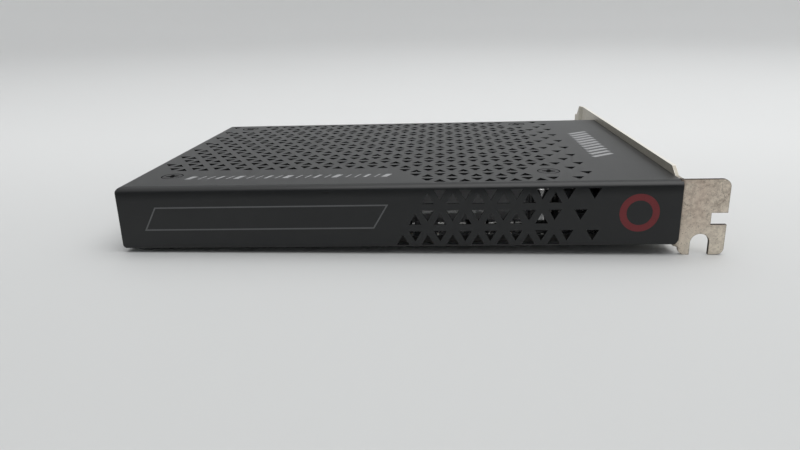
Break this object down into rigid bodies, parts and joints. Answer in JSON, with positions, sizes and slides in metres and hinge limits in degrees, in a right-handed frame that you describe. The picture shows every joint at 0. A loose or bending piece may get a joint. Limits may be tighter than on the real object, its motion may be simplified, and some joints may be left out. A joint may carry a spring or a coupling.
{
  "type": "video capture card",
  "caption": "Full-height expansion card that captures video: perforated folded cover over a circuit board, slot bracket with two video sockets and two audio jacks.",
  "frame": {"origin": "middle of the overall length and depth, at the lower edge of the bracket's ear", "axes": "+X along the card towards the slot bracket, +Y from the card's front wall towards the gold contacts, +Z out of the perforated face"},
  "size_m": [0.146, 0.121, 0.0203],
  "materials": {
    "black_powder_coat": "matt",
    "zinc_plate": "satin, lightly marked",
    "nickel_plate": "satin",
    "black_board": "solder mask over copper",
    "gold_plate": "smooth",
    "black_moulding": "moulded",
    "aluminium": "extruded",
    "black_steel": "black oxide",
    "steel": "plain",
    "chip_epoxy": "moulded",
    "grey_silicone": "soft",
    "ceramic": "fired",
    "ferrite": "pressed"
  },
  "bodies": {
    "root": {"top_cover": "black_powder_coat", "cover_screws": "black_steel", "cover_standoffs": "nickel_plate", "printed_circuit_board": "black_board", "edge_contacts": "gold_plate", "io_bracket": "zinc_plate", "bracket_screws": "steel", "hdmi_input_shell": "nickel_plate", "hdmi_input_insulator": "black_moulding", "hdmi_input_contacts": "gold_plate", "hdmi_output_shell": "nickel_plate", "hdmi_output_insulator": "black_moulding", "hdmi_output_contacts": "gold_plate", "line_in_jack": "black_moulding", "line_in_springs": "nickel_plate", "line_out_jack": "black_moulding", "line_out_springs": "nickel_plate", "heat_sink": "aluminium", "thermal_pad": "grey_silicone", "main_processor": "chip_epoxy", "memory_chips": "chip_epoxy", "hdmi_receiver_chip": "chip_epoxy", "hdmi_transmitter_chip": "chip_epoxy", "audio_codec_chip": "chip_epoxy", "flash_chip": "chip_epoxy", "crystals": "nickel_plate", "power_inductors": "ferrite", "can_capacitors": "aluminium", "voltage_regulators": "chip_epoxy", "ceramic_capacitors": "ceramic", "chip_resistors": "chip_epoxy", "solder_side_capacitors": "ceramic"}
  },
  "joints": []
}
